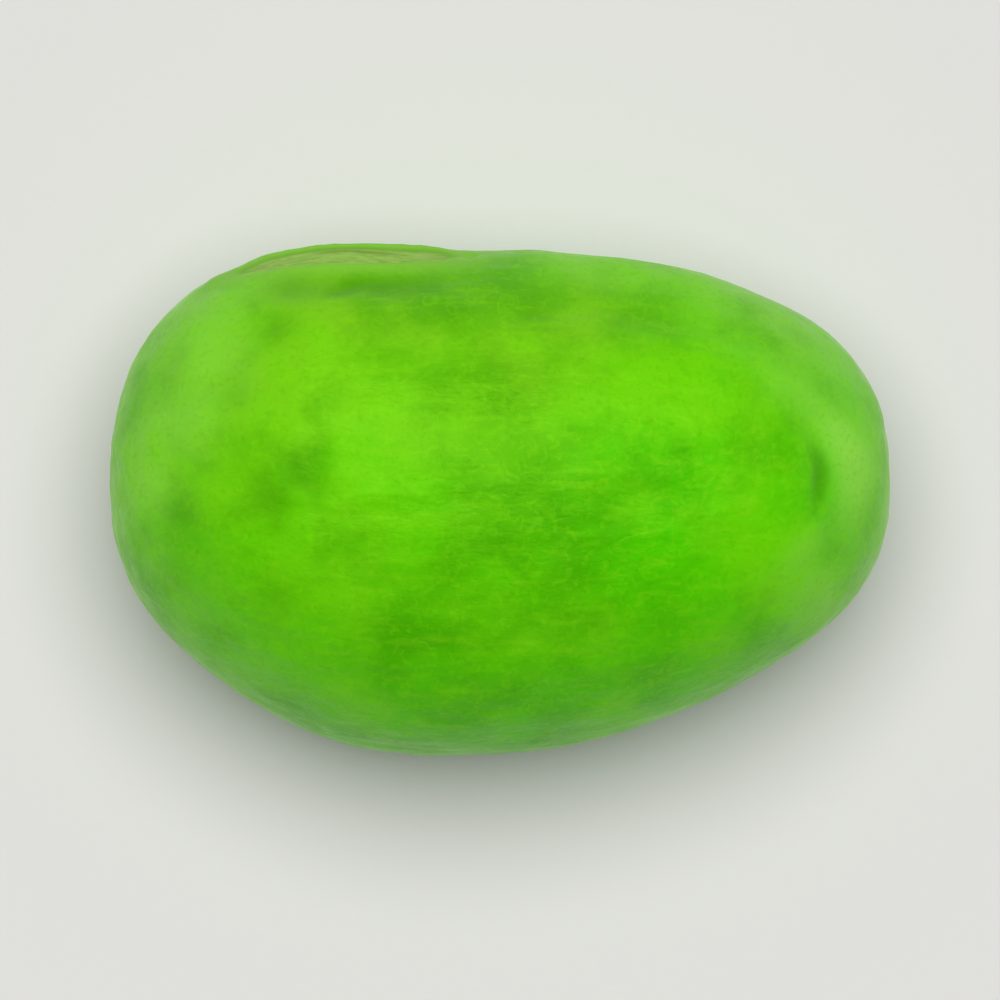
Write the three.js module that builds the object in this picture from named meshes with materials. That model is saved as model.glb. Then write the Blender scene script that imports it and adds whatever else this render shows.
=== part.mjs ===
// One shelled edamame bean: the whole green seed of a soybean pod, in its skin, lying on its broad side.
// Millimetres, +Z up. The origin is on the resting surface, under the middle of the bean.
// +X runs along the bean. +Y is the side of the hilum, the scar where the seed hung in its pod.

import * as THREE from "three";

// Overall size of the bean as it lies.
const LENGTH = 16.6;
const WIDTH = 10.9;
const HEIGHT = 8.6;

// The plain body is an ellipsoid with a few smooth changes.
const HALF_LENGTH = LENGTH / 2;
const HALF_WIDTH = WIDTH / 2;
const HALF_THICKNESS = 0.54 * HEIGHT; // over half, because the underside is flattened afterwards
const FULLNESS = 0.17; // swelling between the tips and the sides, which makes the oval fuller than an ellipse
const FRONT_FULLNESS = 0.37; // more of it on the hilum side, and less at the back
const BEND = 0.4; // how far the tips lie towards the hilum side, so that the back is the rounder one
const LEAN = 1.3; // how far the fullest parts of the front and back lie towards -X
const SIDE_FULLNESS = 0.15; // the same swelling as seen from the hilum side
const THIN_END = 0.06; // how much thinner the +X end is than the middle

// The hilum is a long oval scar, sunk in a low mound nearer the -X end.
const HILUM_X = -3.2;
const HILUM_LENGTH = 4.3;
const HILUM_WIDTH = 1.4;
const HILUM_DEPTH = 0.09;
const FLOOR_RIM = 0.6; // where the sunk floor starts to rise, as a share of the scar's half size
const WALL_TOP = 1.05; // and where it reaches the skin
const LIP_RING = 1.2; // the raised lip round it, in the same shares
const LIP_REACH = 0.3;
const LIP_HEIGHT = 0.07;
const MOUND_HEIGHT = 0.3;
const MOUND_REACH = 2.8;

// The radicle, the young root, lies under the skin as a ridge from the hilum towards the +X end.
const RADICLE_START = -0.8;
const RADICLE_END = 6.4;
const RADICLE_RISE = 1.8; // the length over which the ridge grows from nothing
const RADICLE_FALL = 4; // and over which it fades away
const RADICLE_HEIGHT = 0.2;
const RADICLE_REACH = 1;
const CREASE_Z = 1.8; // the shallow crease along each side of the ridge
const CREASE_REACH = 0.45;
const CREASE_DEPTH = 0.07;

// How the bean lies: rolled so that the hilum turns a little upwards, on a small flat of its underside.
const ROLL = THREE.MathUtils.degToRad(17);
const FLAT_DEPTH = 0.5; // how much of the round underside the flat takes off
const FLAT_BLEND = 0.04; // the rounding round the flat's edge

// Gentle unevenness of the skin, as waves across the body. Heights in mm, directions in radians a mm.
const WAVES = [
  { height: 0.05, across: new THREE.Vector3(0.62, 0.35, 0.9), phase: 0.4 },
  { height: 0.04, across: new THREE.Vector3(-0.38, 0.95, 0.55), phase: 2.1 },
  { height: 0.025, across: new THREE.Vector3(1.15, -0.5, -0.8), phase: 4.0 },
];

// Mesh density, and how strongly the triangles crowd towards the hilum.
const DETAIL = 16;
const CROWDING = 0.45;

const { smoothstep } = THREE.MathUtils;
const bell = (distance, reach) => Math.exp(-((distance / reach) ** 2));

// Turns a direction towards the hilum, so that more triangles fall there.
function crowd(direction) {
  const hilum = new THREE.Vector3(HILUM_X, HALF_WIDTH, 0).normalize();
  const axis = new THREE.Vector3().crossVectors(hilum, direction).normalize();
  const angle = hilum.angleTo(direction);
  return hilum.applyAxisAngle(axis, angle - CROWDING * Math.sin(angle));
}

// The plain body's point in a direction from its middle, with the outward normal there.
function bodyPoint({ x, y, z }) {
  const swelling = 1 + x ** 2 * (y ** 2 * (FULLNESS + FRONT_FULLNESS * y) + z ** 2 * SIDE_FULLNESS);
  const point = new THREE.Vector3(
    HALF_LENGTH * x * swelling - LEAN * y ** 4,
    HALF_WIDTH * y * swelling + BEND * x ** 2,
    HALF_THICKNESS * z * swelling * (1 - THIN_END * x),
  );
  const normal = new THREE.Vector3(x / HALF_LENGTH, y / HALF_WIDTH, z / HALF_THICKNESS).normalize();
  return { point, normal };
}

// How far the skin stands out from the plain body. The hilum and the radicle are on the +Y side only.
function relief({ x, y, z }) {
  const front = smoothstep(y, 0, HALF_WIDTH / 2);
  return front * (hilumRelief(x, z) + radicleRelief(x, z)) + waveRelief(x, y, z);
}

function hilumRelief(x, z) {
  const ring = Math.hypot((2 * (x - HILUM_X)) / HILUM_LENGTH, (2 * z) / HILUM_WIDTH); // 1 on the scar's edge
  const floor = -HILUM_DEPTH * (1 - smoothstep(ring, FLOOR_RIM, WALL_TOP));
  const lip = LIP_HEIGHT * bell(ring - LIP_RING, LIP_REACH);
  const mound = MOUND_HEIGHT * bell(Math.hypot(x - HILUM_X, z), MOUND_REACH);
  return floor + lip + mound;
}

function radicleRelief(x, z) {
  const rise = smoothstep(x, RADICLE_START, RADICLE_START + RADICLE_RISE);
  const fall = 1 - smoothstep(x, RADICLE_END - RADICLE_FALL, RADICLE_END);
  const ridge = RADICLE_HEIGHT * bell(z, RADICLE_REACH);
  const creases = CREASE_DEPTH * bell(Math.abs(z) - CREASE_Z, CREASE_REACH);
  return rise * fall * (ridge - creases);
}

function waveRelief(x, y, z) {
  const place = new THREE.Vector3(x, y, z);
  const heights = WAVES.map(({ height, across, phase }) => height * Math.sin(across.dot(place) + phase));
  return heights.reduce((sum, height) => sum + height);
}

// The skin's point in a direction from the body's middle, rolled as the bean lies.
function skinPoint(direction) {
  const { point, normal } = bodyPoint(crowd(direction));
  point.addScaledVector(normal, relief(point));
  return point.applyAxisAngle(new THREE.Vector3(1, 0, 0), ROLL);
}

// The higher of two heights, with a rounded changeover. Well below the plane it is exactly the plane.
function restOn(plane, height) {
  const nearness = Math.max(FLAT_BLEND - Math.abs(height - plane), 0) / FLAT_BLEND;
  return Math.max(height, plane) + (nearness ** 2 * FLAT_BLEND) / 4;
}

function beanGeometry() {
  const geometry = new THREE.IcosahedronGeometry(1, DETAIL);
  const vertices = geometry.getAttribute("position");
  const direction = new THREE.Vector3();
  for (let i = 0; i < vertices.count; i++) {
    direction.fromBufferAttribute(vertices, i).normalize();
    vertices.setXYZ(i, ...skinPoint(direction));
  }
  geometry.computeBoundingBox();
  const plane = geometry.boundingBox.min.z + FLAT_DEPTH;
  for (let i = 0; i < vertices.count; i++) {
    vertices.setZ(i, restOn(plane, vertices.getZ(i)));
  }
  return standOnOrigin(geometry);
}

// Brings the finished shape to its overall size, with the origin under its middle.
function standOnOrigin(geometry) {
  geometry.computeBoundingBox();
  const { min } = geometry.boundingBox;
  const size = geometry.boundingBox.getSize(new THREE.Vector3());
  const middle = geometry.boundingBox.getCenter(new THREE.Vector3());
  geometry.translate(-middle.x, -middle.y, -min.z);
  geometry.scale(LENGTH / size.x, WIDTH / size.y, HEIGHT / size.z);
  geometry.computeVertexNormals();
  return geometry;
}

function bean() {
  const skin = new THREE.MeshStandardMaterial({ color: 0x5dc00c, roughness: 0.45, metalness: 0 });
  const mesh = new THREE.Mesh(beanGeometry(), skin);
  mesh.name = "bean";
  return mesh;
}

const edamame = new THREE.Group();
edamame.add(bean());

export default edamame;
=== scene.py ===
"""One shelled edamame bean lying on a pale floor, seen from straight above.

The skin is modelled in millimetres in the bean's own frame: x runs along the bean, y points out of
the side with the hilum, which is the scar where the seed hung in its pod, and z is the broad side's
normal. Then it is rolled as the bean lies, flattened where it rests, and fitted to the box of the
CAD node.
"""

import math

import bpy
import numpy as np
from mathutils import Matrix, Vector, noise


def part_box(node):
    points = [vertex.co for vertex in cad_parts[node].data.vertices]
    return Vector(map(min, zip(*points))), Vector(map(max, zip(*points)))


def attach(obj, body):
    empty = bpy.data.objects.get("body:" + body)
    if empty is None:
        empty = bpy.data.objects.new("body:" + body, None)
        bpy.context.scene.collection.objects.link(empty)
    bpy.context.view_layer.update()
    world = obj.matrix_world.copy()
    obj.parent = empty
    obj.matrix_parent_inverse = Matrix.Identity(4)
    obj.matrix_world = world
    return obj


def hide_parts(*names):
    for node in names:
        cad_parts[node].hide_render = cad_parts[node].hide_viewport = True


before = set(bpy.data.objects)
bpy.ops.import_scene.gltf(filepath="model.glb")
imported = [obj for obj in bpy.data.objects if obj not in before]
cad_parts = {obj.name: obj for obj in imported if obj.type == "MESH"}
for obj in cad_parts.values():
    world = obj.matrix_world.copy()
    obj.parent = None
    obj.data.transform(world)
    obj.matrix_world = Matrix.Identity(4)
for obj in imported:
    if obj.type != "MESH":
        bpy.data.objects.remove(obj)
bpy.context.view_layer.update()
BEAN_LOW, BEAN_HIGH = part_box("bean")

MM = 0.001  # a millimetre in metres
LENGTH, WIDTH, HEIGHT = (BEAN_HIGH - BEAN_LOW) / MM

# The plain body, an ellipsoid with a few smooth changes.
HALF_LENGTH = LENGTH / 2
HALF_WIDTH = WIDTH / 2
HALF_THICKNESS = 0.53 * HEIGHT  # over half, because the underside is flattened afterwards
FULLNESS = 0.17  # swelling between the tips and the sides
FRONT_FULLNESS = 0.37  # more of it on the hilum side
SIDE_FULLNESS = 0.15  # the same swelling as seen from the hilum side
BEND = 0.4  # how far the tips lie towards the hilum side
LEAN = 1.3  # how far the fullest parts of the front and back lie towards -x
THIN_END = 0.06  # how much thinner the +x end is

# The hilum, a long oval scar in a low mound.
HILUM_X = -3.2
HILUM_LENGTH = 4.3
HILUM_WIDTH = 1.3
HILUM_DEPTH = 0.06
PAD_HEIGHT = 0.08  # its middle swells up again
FIBRE_HEIGHT = 0.012  # of the scar's fibres, and of the fine wrinkles on its lip
RIM_DEPTH = 0.05  # a fine groove runs round it
SLIT_DEPTH = 0.05  # a fine slit runs along it
SLIT_REACH = 0.05
SLIT_WANDER = 0.05  # how far the slit winds from side to side
LIP_HEIGHT = 0.09  # the skin is raised round it
MOUND_HEIGHT = 0.3
MOUND_REACH = 2.8
BACK_RING = 9  # added to the distance from the scar on the bean's back, which keeps the scar off it

# A shallow valley runs along each side of the mound.
VALLEY_DISTANCE = 1.35
VALLEY_BOW = 0.06
VALLEY_REACH = 0.4
VALLEY_HALF_LENGTH = 2.9
VALLEY_DEPTH = 0.08

# The micropyle, the pore at the scar's end where the root will come out.
MICROPYLE_X = HILUM_X + HILUM_LENGTH / 2 + 0.4
MICROPYLE_REACH = 0.13
MICROPYLE_DEPTH = 0.11

# The chalaza, the small raised mark past its other end.
CHALAZA_X = HILUM_X - HILUM_LENGTH / 2 - 0.7
CHALAZA_STRETCH = 1.8
CHALAZA_REACH = 0.25
CHALAZA_HEIGHT = 0.05

# The radicle, the young root, which is a ridge under the skin from the hilum towards the +x end.
RADICLE_START = -0.8
RADICLE_END = 6.4
RADICLE_RISE = 1.8
RADICLE_FALL = 4
RADICLE_HEIGHT = 0.22
RADICLE_REACH = 1.0
RADICLE_PALENESS = 0.35
CREASE_Z = 1.8  # a crease runs along each side of the ridge
CREASE_REACH = 0.4
CREASE_DEPTH = 0.08

# The seam between the two seed leaves, which shows faintly along the back.
SEAM_WANDER = 0.25
SEAM_REACH = 0.3
SEAM_DEPTH = 0.03

# How it lies: rolled, with its underside flattened.
ROLL = math.radians(17)
FLAT_DEPTH = 0.34
FLAT_BLEND = 0.16

# Gentle unevenness, as waves across the body: height, direction in radians a mm, and phase.
WAVES = [
    (0.04, (0.62, 0.35, 0.9), 0.4),
    (0.04, (-0.38, 0.95, 0.55), 2.1),
    (0.025, (1.15, -0.5, -0.8), 4.0),
]

# The fine unevenness all over the skin.
DIMPLE_DEPTH = 0.05
FOLD_HEIGHT = 0.022
WRINKLE_HEIGHT = 0.016
PEEL_HEIGHT = 0.008

# Small dents on the upper side, where the skin is also darkened as painted shade: x and y seen from
# above, reach and depth.
TOP_DENTS = [
    (-6.8, -0.1, 0.5, 0.04),
    (-4.8, 0.15, 0.65, 0.055),
    (-4.0, 0.9, 0.6, 0.06),
    (-5.6, 2.4, 0.45, 0.035),
    (-4.7, 3.9, 0.45, 0.045),
    (-0.1, -0.8, 0.7, 0.03),
]

# Soft patches on the upper side, partly the skin's own tone and partly painted light and shade, such as
# the darker ones along the upper and lower edges: x and y, reach, and how much lighter it is there, or
# darker below 0.
TOP_PATCHES = [
    (-4.9, 1.8, 0.9, 0.7),
    (-2.5, 2.6, 1.3, 0.6),
    (-3.8, 3.6, 0.6, 0.7),
    (-2.6, -0.4, 1.2, 0.7),
    (-4.3, -1.8, 0.9, 0.6),
    (3.2, 2.9, 1.3, 1.3),
    (5.6, 2.1, 0.8, 0.7),
    (6.2, -1.5, 1.1, 1.2),
    (-6.6, 1.9, 0.9, 0.8),
    (-5.8, 0.8, 0.8, 0.8),
    (-7.1, 0.7, 0.8, 0.8),
    (4.9, -0.3, 1.3, 0.6),
    (-0.3, -3.9, 1.5, 0.5),
    (0.2, 0.9, 1.7, -0.9),
    (3.0, 0.6, 0.9, -0.5),
    (1.5, -1.2, 1.0, -0.5),
    # Painted shade towards the lower edge.
    (-2.1, -2.4, 1.4, -0.8),
    (0.2, -3.0, 1.4, -0.7),
    (4.2, -2.5, 1.0, -0.4),
    # Painted shade along the upper edge, from the notch rightwards.
    (-2.8, 4.35, 0.7, -0.7),
    (-1.4, 4.5, 0.8, -0.9),
    (0.2, 4.7, 1.2, -1.0),
    (2.8, 4.4, 1.1, -0.7),
]

# Painted highlights, pale spots on the upper side near the tips: x and y, reach and paleness.
PALE_SPOTS = [
    (-6.1, 3.4, 0.8, 0.4),
    (-6.7, 2.0, 0.9, 0.5),
    (-7.4, 0.5, 0.8, 0.45),
    (6.7, -1.7, 0.6, 0.45),
]

# The purest green is a broad place on the upper side, right of the middle.
PURE_GREEN_X = 3.4
PURE_GREEN_Y = -0.1
PURE_GREEN_REACH = 2.8
PURE_GREEN_SQUEEZE = 1.4  # how much shorter its reach is in y

# The crescent crease inside the +x tip, seen from above.
CRESCENT_X = 6.75
CRESCENT_Y = 0.7
CRESCENT_BOW = 0.3
CRESCENT_REACH = 0.2
CRESCENT_HALF_LENGTH = 0.7
CRESCENT_DEPTH = 0.09

# A painted highlight, the palest colour, is a crescent past that crease.
PALE_TIP_DISTANCE = 0.7
PALE_TIP_Y = 1.2
PALE_TIP_REACH = 0.55
PALE_TIP_HALF_LENGTH = 1.5
PALE_TIP_AMOUNT = 1.0

# The short notch beside the hilum, seen from above.
NOTCH_X = -3.3
NOTCH_Y = 4.75
NOTCH_BOW = 0.25
NOTCH_REACH = 0.14
NOTCH_HALF_LENGTH = 0.38
NOTCH_DEPTH = 0.07

# The painted sheen of the edge: a paler colour where the skin is steep.
EDGE_START = 0.08  # how steep the skin is where the tone starts, with 1 for upright
EDGE_FULL = 0.7
TIP_START = 3.5  # how far along the bean the tone starts to grow towards the tips
TIP_FULL = 6.5
EDGE_LONG_SIDES = 0.2  # how much of the tone the long sides have
EDGE_BACK_LOSS = 0.6  # how much of the tone the back loses
EDGE_BACK_DISTANCE = 4  # how far behind the middle that loss is full

# The mesh grows from a cube with this many faces along each edge, crowded towards the hilum.
FACE_DIVISIONS = 128
CROWDING = 0.4


def smoothstep(value, low, high):
    """0 up to low, 1 from high on, and a smooth rise between them."""
    t = np.clip((value - low) / (high - low), 0, 1)
    return t * t * (3 - 2 * t)


def bell(distance, reach):
    """1 at distance 0, and a smooth fall to nearly 0 at twice the reach."""
    return np.exp(-((distance / reach) ** 2))


def noise_at(points, size, seed):
    """Smooth noise of about -1 to 1, with bumps that size apart, which may differ in x, y and z."""
    start = np.array([31.7, 47.3, 11.9]) * seed  # each seed reads another part of the noise
    return np.array([noise.noise(p) for p in points / size + start])


def cube_sphere(divisions):
    """Unit directions and quads of a cube blown up to a sphere, with evenly turned grid lines."""
    steps = np.tan(np.linspace(-math.pi / 4, math.pi / 4, divisions + 1))
    u, v = (g.ravel() for g in np.meshgrid(steps, steps, indexing="ij"))
    corner = np.arange(divisions)
    i, j = (g.ravel() for g in np.meshgrid(corner, corner, indexing="ij"))
    start = i * (divisions + 1) + j
    quad = np.stack([start, start + divisions + 1, start + divisions + 2, start + 1], axis=1)
    points, quads = [], []
    for axis in range(3):
        for side in (1, -1):
            face = np.empty((len(u), 3))
            face[:, axis] = side
            face[:, (axis + 1) % 3] = u
            face[:, (axis + 2) % 3] = v
            points.append(face)
            quads.append((quad if side == 1 else quad[:, ::-1]) + len(u) * len(quads))
    points = np.concatenate(points)
    points /= np.linalg.norm(points, axis=1, keepdims=True)
    _, first, merged = np.unique(points.round(9), axis=0, return_index=True, return_inverse=True)
    return points[first], merged.ravel()[np.concatenate(quads)]


def crowd(directions):
    """Directions turned towards the hilum, so that more faces fall there."""
    hilum = np.array([HILUM_X, HALF_WIDTH, 0])
    hilum = hilum / np.linalg.norm(hilum)
    angle = np.arccos(np.clip(directions @ hilum, -1, 1))
    turned = angle - CROWDING * np.sin(angle)
    sideways = directions - np.outer(np.cos(angle), hilum)
    sideways /= np.maximum(np.linalg.norm(sideways, axis=1, keepdims=True), 1e-9)
    return np.outer(np.cos(turned), hilum) + sideways * np.sin(turned)[:, None]


def body(directions):
    """Points of the plain body, and its outward normals."""
    x, y, z = directions.T
    swelling = 1 + x**2 * (y**2 * (FULLNESS + FRONT_FULLNESS * y) + z**2 * SIDE_FULLNESS)
    points = np.stack(
        [
            HALF_LENGTH * x * swelling - LEAN * y**4,
            HALF_WIDTH * y * swelling + BEND * x**2,
            HALF_THICKNESS * z * swelling * (1 - THIN_END * x),
        ],
        axis=1,
    )
    normals = directions / [HALF_LENGTH, HALF_WIDTH, HALF_THICKNESS]
    return points, normals / np.linalg.norm(normals, axis=1, keepdims=True)


def hilum_side(points):
    """1 on the hilum side and 0 on the back, with a smooth change between them."""
    return smoothstep(points[:, 1], 0, HALF_WIDTH / 2)


def scar_ring(points):
    """Distance from the hilum's middle: 1 on its slightly uneven edge, and large on the back."""
    x, _, z = points.T
    ring = np.hypot((x - HILUM_X) / (HILUM_LENGTH / 2), z / (HILUM_WIDTH / 2))
    unevenness = 0.09 * noise_at(points, 0.8, 1) + 0.05 * noise_at(points, 0.3, 5)
    return ring * (1 + unevenness) + BACK_RING * (1 - hilum_side(points))


def scar_relief(points, ring):
    """The scar's own surface, inside its ring."""
    x, _, z = points.T
    along = np.abs(x - HILUM_X) / (HILUM_LENGTH / 2)
    sunken = -HILUM_DEPTH * (1 - smoothstep(ring, 0.8, 1.05)) - RIM_DEPTH * bell(ring - 0.98, 0.1)
    pad = PAD_HEIGHT * (1 - smoothstep(ring, 0, 0.85))
    fibres = FIBRE_HEIGHT * noise_at(points, (0.5, 0.14, 0.14), 6) * (1 - smoothstep(ring, 0.8, 1.0))
    slit_z = SLIT_WANDER * (np.sin(1.7 * x) + 0.6 * noise_at(points, 0.6, 7))
    slit = -SLIT_DEPTH * bell(z - slit_z, SLIT_REACH) * (1 - smoothstep(along, 0.6, 0.9))
    return sunken + pad + fibres + slit


def scar_surroundings(points, ring):
    """The lip, the mound, the micropyle and the chalaza."""
    x, _, z = points.T
    along = np.abs(x - HILUM_X) / (HILUM_LENGTH / 2)
    lip = LIP_HEIGHT * bell(ring - 1.2, 0.2) * (1 - 0.5 * np.minimum(along, 1) ** 4)
    lip += FIBRE_HEIGHT * noise_at(points, (0.22, 0.6, 0.6), 11) * bell(ring - 1.3, 0.3)
    mound = MOUND_HEIGHT * bell(np.hypot(x - HILUM_X, z), MOUND_REACH)
    micropyle = -MICROPYLE_DEPTH * bell(np.hypot(x - MICROPYLE_X, z), MICROPYLE_REACH)
    chalaza = CHALAZA_HEIGHT * bell(np.hypot((x - CHALAZA_X) / CHALAZA_STRETCH, z), CHALAZA_REACH)
    return lip + mound + micropyle + chalaza


def valley_shape(points):
    """How strongly the valleys beside the hilum show. The one on the -z side is fainter."""
    x, _, z = points.T
    away = np.abs(x - HILUM_X)
    bowed = np.abs(z) + VALLEY_BOW * away**2
    uneven = 0.8 + 0.6 * noise_at(points, 1.3, 14)
    strength = (1 - smoothstep(away, 1.0, VALLEY_HALF_LENGTH)) * (0.3 + 0.7 * smoothstep(z, -1, 1))
    return bell(bowed - VALLEY_DISTANCE, VALLEY_REACH) * strength * uneven


def radicle_shape(points):
    """How strongly the ridge shows, from 0 to 1, and its relief."""
    x, _, z = points.T
    rise = smoothstep(x, RADICLE_START, RADICLE_START + RADICLE_RISE)
    fall = 1 - smoothstep(x, RADICLE_END - RADICLE_FALL, RADICLE_END)
    ridge = rise * fall * bell(z, RADICLE_REACH)
    creases = rise * fall * bell(np.abs(z) - CREASE_Z, CREASE_REACH)
    return ridge, RADICLE_HEIGHT * ridge - CREASE_DEPTH * creases


def seam_shape(points):
    """How strongly the seam along the back shows, from 0 to 1."""
    x, y, z = points.T
    wander = SEAM_WANDER * noise_at(points, 3.0, 8)
    return bell(z - wander, SEAM_REACH) * smoothstep(-y, 1, 4) * (1 - smoothstep(np.abs(x), 4, 7.5))


def wave_relief(points):
    """The gentle unevenness of the whole body."""
    return sum(height * np.sin(points @ np.array(across) + phase) for height, across, phase in WAVES)


def skin_relief(points):
    """The fine unevenness all over the skin."""
    dimples = -DIMPLE_DEPTH * smoothstep(noise_at(points, 2.1, 2), 0.05, 0.8)
    folds = FOLD_HEIGHT * noise_at(points, (2.6, 0.7, 0.7), 3)
    wrinkles = WRINKLE_HEIGHT * noise_at(points, (0.9, 0.35, 0.35), 13)
    peel = PEEL_HEIGHT * noise_at(points, 0.28, 4)
    return dimples + folds + wrinkles + peel


def past_crescent(points):
    """How far out the points lie from the bowed line of the crescent crease, on rolled points."""
    x, y, _ = points.T
    return x - CRESCENT_X + CRESCENT_BOW * (y - CRESCENT_Y) ** 2


def spot_shape(points, spots, uneven):
    """All the spots together, each a bell of its own reach and amount about its x and y."""
    x, y, _ = points.T
    return sum(
        amount * bell(uneven * np.hypot(x - spot_x, y - spot_y), reach)
        for spot_x, spot_y, reach, amount in spots
    )


def top_dents(points):
    """How deep the dents are that show from above, on rolled points."""
    x, y, z = points.T
    dents = spot_shape(points, TOP_DENTS, 1 + 0.45 * noise_at(points, 0.6, 9))
    crescent = bell(past_crescent(points), CRESCENT_REACH) * bell(y - CRESCENT_Y, CRESCENT_HALF_LENGTH)
    across = y - NOTCH_Y - NOTCH_BOW * (x - NOTCH_X)
    notch = bell(across, NOTCH_REACH) * bell(x - NOTCH_X, NOTCH_HALF_LENGTH)
    return (dents + CRESCENT_DEPTH * crescent + NOTCH_DEPTH * notch) * smoothstep(z, 0, 1)


def top_tone_and_painted_light(points):
    """How light or dark, how pure in its green and how pale the upper side is, on rolled points. The
    light and dark are partly painted light and shade, and the paleness is painted highlight.
    """
    x, y, z = points.T
    upper = smoothstep(z, 0, 1.5)
    uneven = 1 + 0.4 * noise_at(points, 1.1, 12)
    light = spot_shape(points, TOP_PATCHES, uneven)
    off_pure = np.hypot(x - PURE_GREEN_X, PURE_GREEN_SQUEEZE * (y - PURE_GREEN_Y))
    pure = bell(uneven * off_pure, PURE_GREEN_REACH)
    past_line = uneven * (past_crescent(points) - PALE_TIP_DISTANCE)
    along_line = uneven * (y - PALE_TIP_Y)
    tip = bell(past_line, PALE_TIP_REACH) * bell(along_line, PALE_TIP_HALF_LENGTH)
    pale = spot_shape(points, PALE_SPOTS, uneven) + PALE_TIP_AMOUNT * tip
    return upper * light, upper * pure, upper * pale


def rolled(vectors):
    """The vectors turned about x, as the bean lies."""
    turn = np.array(
        [
            [1, 0, 0],
            [0, math.cos(ROLL), -math.sin(ROLL)],
            [0, math.sin(ROLL), math.cos(ROLL)],
        ]
    )
    return vectors @ turn.T


def rest_on(plane, heights):
    """The higher of the two, with a rounded changeover."""
    nearness = np.maximum(FLAT_BLEND - np.abs(heights - plane), 0) / FLAT_BLEND
    return np.maximum(heights, plane) + nearness**2 * FLAT_BLEND / 4


def fit(points, low, high):
    """The points stretched to fill the box."""
    start, end = points.min(axis=0), points.max(axis=0)
    return np.array(low) + (points - start) * ((np.array(high) - np.array(low)) / (end - start))


def painted_edge_sheen(points, normals):
    """How much of the edge's painted sheen, a paler colour, the skin has: most at the steep tips, least
    on the back.
    """
    steepness = 1 - np.abs(rolled(normals)[:, 2])
    near_tip = smoothstep(np.abs(points[:, 0]), TIP_START, TIP_FULL)
    tips = EDGE_LONG_SIDES + (1 - EDGE_LONG_SIDES) * near_tip
    back = 1 - EDGE_BACK_LOSS * smoothstep(-points[:, 1], 0, EDGE_BACK_DISTANCE)
    return smoothstep(steepness, EDGE_START, EDGE_FULL) * tips * back


def bean_skin():
    """Vertices in metres, quads, and the vertices' named traits in threes, which the material reads."""
    directions, quads = cube_sphere(FACE_DIVISIONS)
    points, normals = body(crowd(directions))
    ring = scar_ring(points)
    front = hilum_side(points)
    ridge, ridge_relief = radicle_shape(points)
    seam = seam_shape(points)
    relief = front * (scar_relief(points, ring) + scar_surroundings(points, ring) + ridge_relief)
    relief += wave_relief(points) + skin_relief(points) - SEAM_DEPTH * seam
    lying = rolled(points + normals * relief[:, None])
    dents = top_dents(lying) + VALLEY_DEPTH * front * valley_shape(points)
    lying -= rolled(normals) * dents[:, None]
    lying[:, 2] = rest_on(lying[:, 2].min() + FLAT_DEPTH, lying[:, 2])
    light, pure, pale = top_tone_and_painted_light(lying)
    # The traits: the dents' depth also sets painted shade, the paleness is partly painted highlight,
    # and the edge is painted sheen.
    traits = {
        "scar": [ring, points[:, 0] - HILUM_X, points[:, 2]],
        "marks": [dents, RADICLE_PALENESS * front * ridge + pale, seam],
        "tone_and_painted_light": [light, pure, painted_edge_sheen(points, normals)],
    }
    return fit(lying, BEAN_LOW, BEAN_HIGH), quads, traits


def make_bean():
    """The bean as a mesh that carries the traits of its vertices."""
    vertices, quads, traits = bean_skin()
    mesh = bpy.data.meshes.new("edamame_bean")
    mesh.from_pydata(vertices.tolist(), [], quads.tolist())
    mesh.shade_smooth()
    for name, values in traits.items():
        attribute = mesh.attributes.new(name, "FLOAT_VECTOR", "POINT")
        attribute.data.foreach_set("vector", np.stack(values, axis=1).astype(np.float32).ravel())
    bean = bpy.data.objects.new("edamame_bean", mesh)
    bpy.context.scene.collection.objects.link(bean)
    return bean


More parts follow.
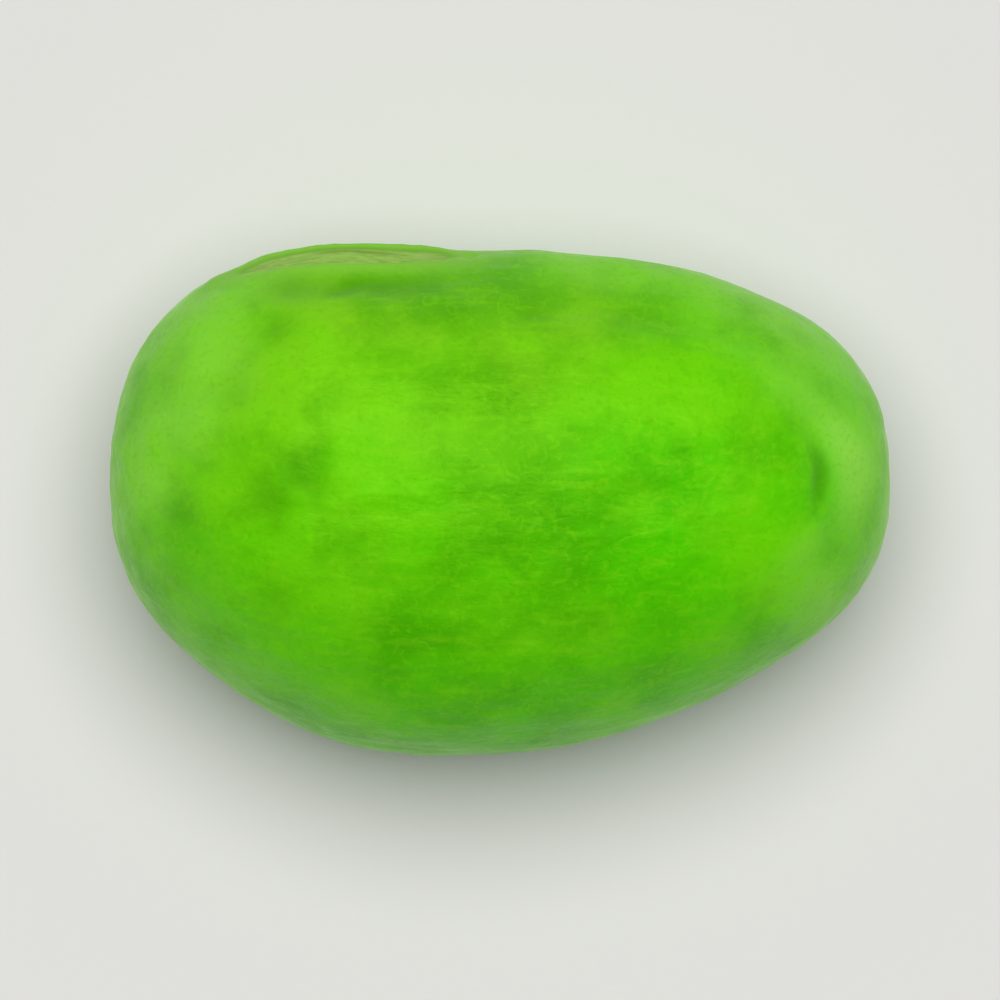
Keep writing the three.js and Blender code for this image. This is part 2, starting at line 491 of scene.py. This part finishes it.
class Shader:
    """A material with one Principled shader, and short ways to add the nodes in front of it."""

    def __init__(self, name):
        self.material = bpy.data.materials.new(name)
        self.material.use_nodes = True
        self.tree = self.material.node_tree
        self.surface = self.tree.nodes["Principled BSDF"]

    def link(self, source, socket):
        """Feed a socket from another node's output, or set it to a plain value."""
        if isinstance(source, bpy.types.NodeSocket):
            self.tree.links.new(source, socket)
        else:
            socket.default_value = source

    def node(self, kind, inputs=(), **settings):
        """A new node with its settings, and with each input linked or set."""
        made = self.tree.nodes.new(kind)
        for key, value in settings.items():
            setattr(made, key, value)
        for place, source in dict(inputs).items():
            self.link(source, made.inputs[place])
        return made

    def attribute(self, name):
        """The three values of one of the bean's traits."""
        vector = self.node("ShaderNodeAttribute", attribute_name=name).outputs["Vector"]
        return self.node("ShaderNodeSeparateXYZ", {0: vector}).outputs

    def math(self, operation, a, b=0.0):
        return self.node("ShaderNodeMath", {0: a, 1: b}, operation=operation).outputs[0]

    def ramp(self, value, low, high, start=0.0, end=1.0):
        """A smooth change from start to end while the value goes from low to high."""
        made = self.node(
            "ShaderNodeMapRange",
            {"Value": value, "From Min": low, "From Max": high, "To Min": start, "To Max": end},
            interpolation_type="SMOOTHSTEP",
        )
        return made.outputs[0]

    def mix(self, amount, a, b):
        """Colour a turned towards colour b by that amount."""
        made = self.node("ShaderNodeMix", data_type="RGBA")
        for name, source in (("Factor_Float", amount), ("A_Color", a), ("B_Color", b)):
            socket = next(s for s in made.inputs if s.identifier == name)
            self.link(source, socket)
        return next(s for s in made.outputs if s.identifier == "Result_Color")

    def noise(self, place, size, detail=2.0, roughness=0.5, distortion=0.0):
        """Noise of 0 to 1 with its bumps about that many millimetres apart."""
        made = self.node(
            "ShaderNodeTexNoise",
            {
                "Vector": place,
                "Scale": 1 / size,
                "Detail": detail,
                "Roughness": roughness,
                "Distortion": distortion,
            },
        )
        return made.outputs[0]

    def stretch(self, place, share):
        """The place with its x made that share as long, so that a pattern runs along the bean."""
        made = self.node("ShaderNodeVectorMath", {0: place, 1: (share, 1, 1)}, operation="MULTIPLY")
        return made.outputs[0]


def color(*levels):
    """An sRGB colour, given in levels of 0 to 255, as a linear one."""
    shares = [level / 255 for level in levels]
    return (*(s / 12.92 if s <= 0.04045 else ((s + 0.055) / 1.055) ** 2.4 for s in shares), 1)


def plain_skin_color(shader, place, pale):
    """The skin's green with its patches, mottles, streaks, stipple and pale marks.

    It is deeper towards the +x end. It is yellower towards the hilum side and deeper towards the back,
    partly its own tone and partly painted light falling from the hilum side.
    """
    light, pure, edge = shader.attribute("tone_and_painted_light")
    x, y, _ = shader.node("ShaderNodeSeparateXYZ", {0: place}).outputs
    wander = shader.ramp(shader.noise(place, 4.5, 2.0), 0.2, 0.8, -6, 6)
    uneven_x = shader.math("ADD", x, wander)
    skin = shader.mix(shader.ramp(uneven_x, -7, 7), color(97, 206, 3), color(84, 204, 1))
    # Partly painted light: yellower towards the hilum side, where the light comes from, and deeper
    # green towards the back.
    slanted_y = shader.math("SUBTRACT", y, shader.math("MULTIPLY", uneven_x, 0.25))
    skin = shader.mix(shader.ramp(slanted_y, 0.5, 4.5, 0, 0.75), skin, color(132, 200, 28))
    skin = shader.mix(shader.ramp(slanted_y, -0.5, -4.5, 0, 0.5), skin, color(72, 192, 0))

    # The places that the traits mark.
    skin = shader.mix(shader.math("MULTIPLY", pure, 0.75), skin, color(70, 206, 0))
    # Painted sheen: the steep edge is turned paler, most at the tips.
    skin = shader.mix(shader.math("MULTIPLY", edge, 0.8), skin, color(136, 212, 80))
    # Lighter and darker patches, partly the skin's own tone and partly painted light and shade.
    skin = shader.mix(shader.ramp(light, 0, 1, 0, 0.6), skin, color(118, 218, 8))
    skin = shader.mix(shader.ramp(light, 0, -1, 0, 0.7), skin, color(64, 160, 2))

    # The pattern all over, from coarse to fine, with the pale marks under the finer part.
    patches = shader.ramp(shader.noise(place, 2.2, 2.0), 0.42, 0.7, 0, 0.6)
    skin = shader.mix(patches, skin, color(118, 214, 14))
    mottles = shader.ramp(shader.noise(place, 1.6, 3.0, 0.5), 0.4, 0.75, 0, 0.55)
    skin = shader.mix(mottles, skin, color(64, 162, 2))
    # The pale marks: the radicle's ridge in its own paler colour, and the painted highlights of the
    # pale spots and the crescent at the +x tip.
    skin = shader.mix(pale, skin, color(146, 226, 74))
    streaks = shader.ramp(shader.noise(shader.stretch(place, 0.12), 0.22, 3.0), 0.5, 0.75, 0, 0.35)
    skin = shader.mix(streaks, skin, color(124, 210, 16))
    stipple = shader.ramp(shader.noise(place, 0.24, 3.0, 0.6, 1.2), 0.45, 0.7, 0, 0.28)
    skin = shader.mix(stipple, skin, color(132, 220, 18))
    grains = shader.ramp(shader.noise(place, 0.13, 2.0), 0.5, 0.75, 0, 0.16)
    return shader.mix(grains, skin, color(60, 150, 4))


def scar_color(shader, place, skin):
    """The skin's colour with the hilum on it, and the scar's ring, which is 1 on the scar's edge."""
    ring, along, across = shader.attribute("scar")
    skin = shader.mix(shader.ramp(ring, 1.7, 1.12, 0, 0.85), skin, color(130, 194, 68))
    fibres = shader.ramp(shader.noise(shader.stretch(place, 0.3), 0.09, 3.0, 0.6), 0.3, 0.7)
    scar = shader.mix(fibres, color(130, 178, 66), color(158, 198, 94))
    # The slit's dark line, which fades towards its ends.
    fading = shader.math("MULTIPLY", shader.math("POWER", shader.math("ABSOLUTE", along), 2.0), 0.03)
    off_slit = shader.math("ADD", fading, shader.math("ABSOLUTE", across))
    scar = shader.mix(shader.ramp(off_slit, 0.12, 0.02, 0, 0.75), scar, color(118, 154, 56))
    skin = shader.mix(shader.ramp(ring, 1.04, 0.92), skin, scar)
    # A darker line on the scar's edge, over the groove round it: partly its own colour, partly painted
    # shade in the groove.
    off_edge = shader.math("ABSOLUTE", shader.math("SUBTRACT", ring, 1.0))
    return shader.mix(shader.ramp(off_edge, 0.1, 0.0, 0, 0.45), skin, color(102, 156, 36)), ring


def skin_material():
    """The skin's shader: its colour, then its roughness and bumps, then its fixed values."""
    shader = Shader("edamame_skin")
    metres = shader.node("ShaderNodeTexCoord").outputs["Object"]
    scaled = shader.node("ShaderNodeVectorMath", {0: metres, "Scale": 1 / MM}, operation="SCALE")
    place = scaled.outputs[0]
    dents, pale, seam = shader.attribute("marks")

    skin = plain_skin_color(shader, place, pale)
    skin = shader.mix(shader.math("MULTIPLY", seam, 0.25), skin, color(60, 150, 4))
    skin, ring = scar_color(shader, place, skin)
    # Painted shade: the skin is darker in the dents, the crescent crease, the notch and the valleys
    # beside the hilum.
    skin = shader.mix(shader.ramp(dents, 0.0, 0.08, 0, 0.5), skin, color(56, 140, 3))
    shader.link(skin, shader.surface.inputs["Base Color"])

    rough = shader.ramp(shader.noise(place, 0.6, 3.0), 0.3, 0.7, 0.35, 0.47)
    rough = shader.math("ADD", rough, shader.ramp(ring, 1.3, 0.95, 0, 0.3))
    shader.link(rough, shader.surface.inputs["Roughness"])
    creases = shader.math("SUBTRACT", shader.noise(shader.stretch(place, 0.5), 0.3, 3.0), 0.5)
    creases = shader.math("ABSOLUTE", creases)
    bump = shader.node("ShaderNodeBump", {"Height": creases, "Strength": 0.7, "Distance": 0.05 * MM})
    shader.link(bump.outputs[0], shader.surface.inputs["Normal"])

    fixed = {
        "Specular IOR Level": 0.36,
        "Specular Tint": color(180, 255, 70),
        "Subsurface Weight": 0.3,
        "Subsurface Radius": (0.6, 1.0, 0.2),
        "Subsurface Scale": 0.6 * MM,
        "Sheen Weight": 0.2,
        "Sheen Roughness": 0.4,
        "Sheen Tint": color(190, 250, 110),
    }
    for name, value in fixed.items():
        shader.surface.inputs[name].default_value = value
    return shader.material


def make_floor(size):
    """A plain pale square under the bean, of that size in metres."""
    shader = Shader("pale_floor")
    shader.surface.inputs["Base Color"].default_value = color(224, 223, 220)
    shader.surface.inputs["Roughness"].default_value = 0.8
    shader.surface.inputs["Specular IOR Level"].default_value = 0.1
    half = size / 2
    mesh = bpy.data.meshes.new("floor")
    corners = [(-half, -half), (half, -half), (half, half), (-half, half)]
    mesh.from_pydata([(x, y, BEAN_LOW.z) for x, y in corners], [], [(0, 1, 2, 3)])
    mesh.materials.append(shader.material)
    floor = bpy.data.objects.new("floor", mesh)
    bpy.context.scene.collection.objects.link(floor)


def make_sun(name, towards, angle, strength):
    """Even light from a direction, made soft by the angle that the sun fills, in degrees."""
    light = bpy.data.lights.new(name, "SUN")
    light.angle = math.radians(angle)
    light.energy = strength
    lamp = bpy.data.objects.new(name, light)
    lamp.rotation_euler = Vector(towards).to_track_quat("Z", "Y").to_euler()
    bpy.context.scene.collection.objects.link(lamp)


def make_world(horizon, zenith):
    """A white surround, with its strength at the horizon and overhead."""
    world = bpy.data.worlds.new("studio")
    world.use_nodes = True
    nodes, links = world.node_tree.nodes, world.node_tree.links
    direction = nodes.new("ShaderNodeTexCoord").outputs["Generated"]
    split = nodes.new("ShaderNodeSeparateXYZ")
    links.new(direction, split.inputs[0])
    level = nodes.new("ShaderNodeMapRange")
    level.inputs["To Min"].default_value = horizon
    level.inputs["To Max"].default_value = zenith
    links.new(split.outputs["Z"], level.inputs["Value"])
    sky = nodes["Background"]
    sky.inputs["Color"].default_value = (1, 1, 1, 1)
    links.new(level.outputs[0], sky.inputs["Strength"])
    bpy.context.scene.world = world


def make_camera(lens, share):
    """A camera straight above, with the bean's length filling that share of the picture's width."""
    middle = (BEAN_LOW + BEAN_HIGH) / 2
    camera = bpy.data.cameras.new("camera")
    camera.lens = lens
    distance = (LENGTH * MM / share) * lens / camera.sensor_width
    holder = bpy.data.objects.new("camera", camera)
    holder.location = (middle.x, middle.y, middle.z + distance)
    bpy.context.scene.collection.objects.link(holder)
    bpy.context.scene.camera = holder


bean = make_bean()
bean.data.materials.append(skin_material())
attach(bean, "root")
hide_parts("bean")

make_floor(size=4.0)
make_sun("key", towards=(0.02, 0.23, 1.0), angle=50, strength=2.77)
make_world(horizon=0.02, zenith=0.2)
make_camera(lens=400, share=0.78)
bpy.context.scene.view_settings.view_transform = "Standard"
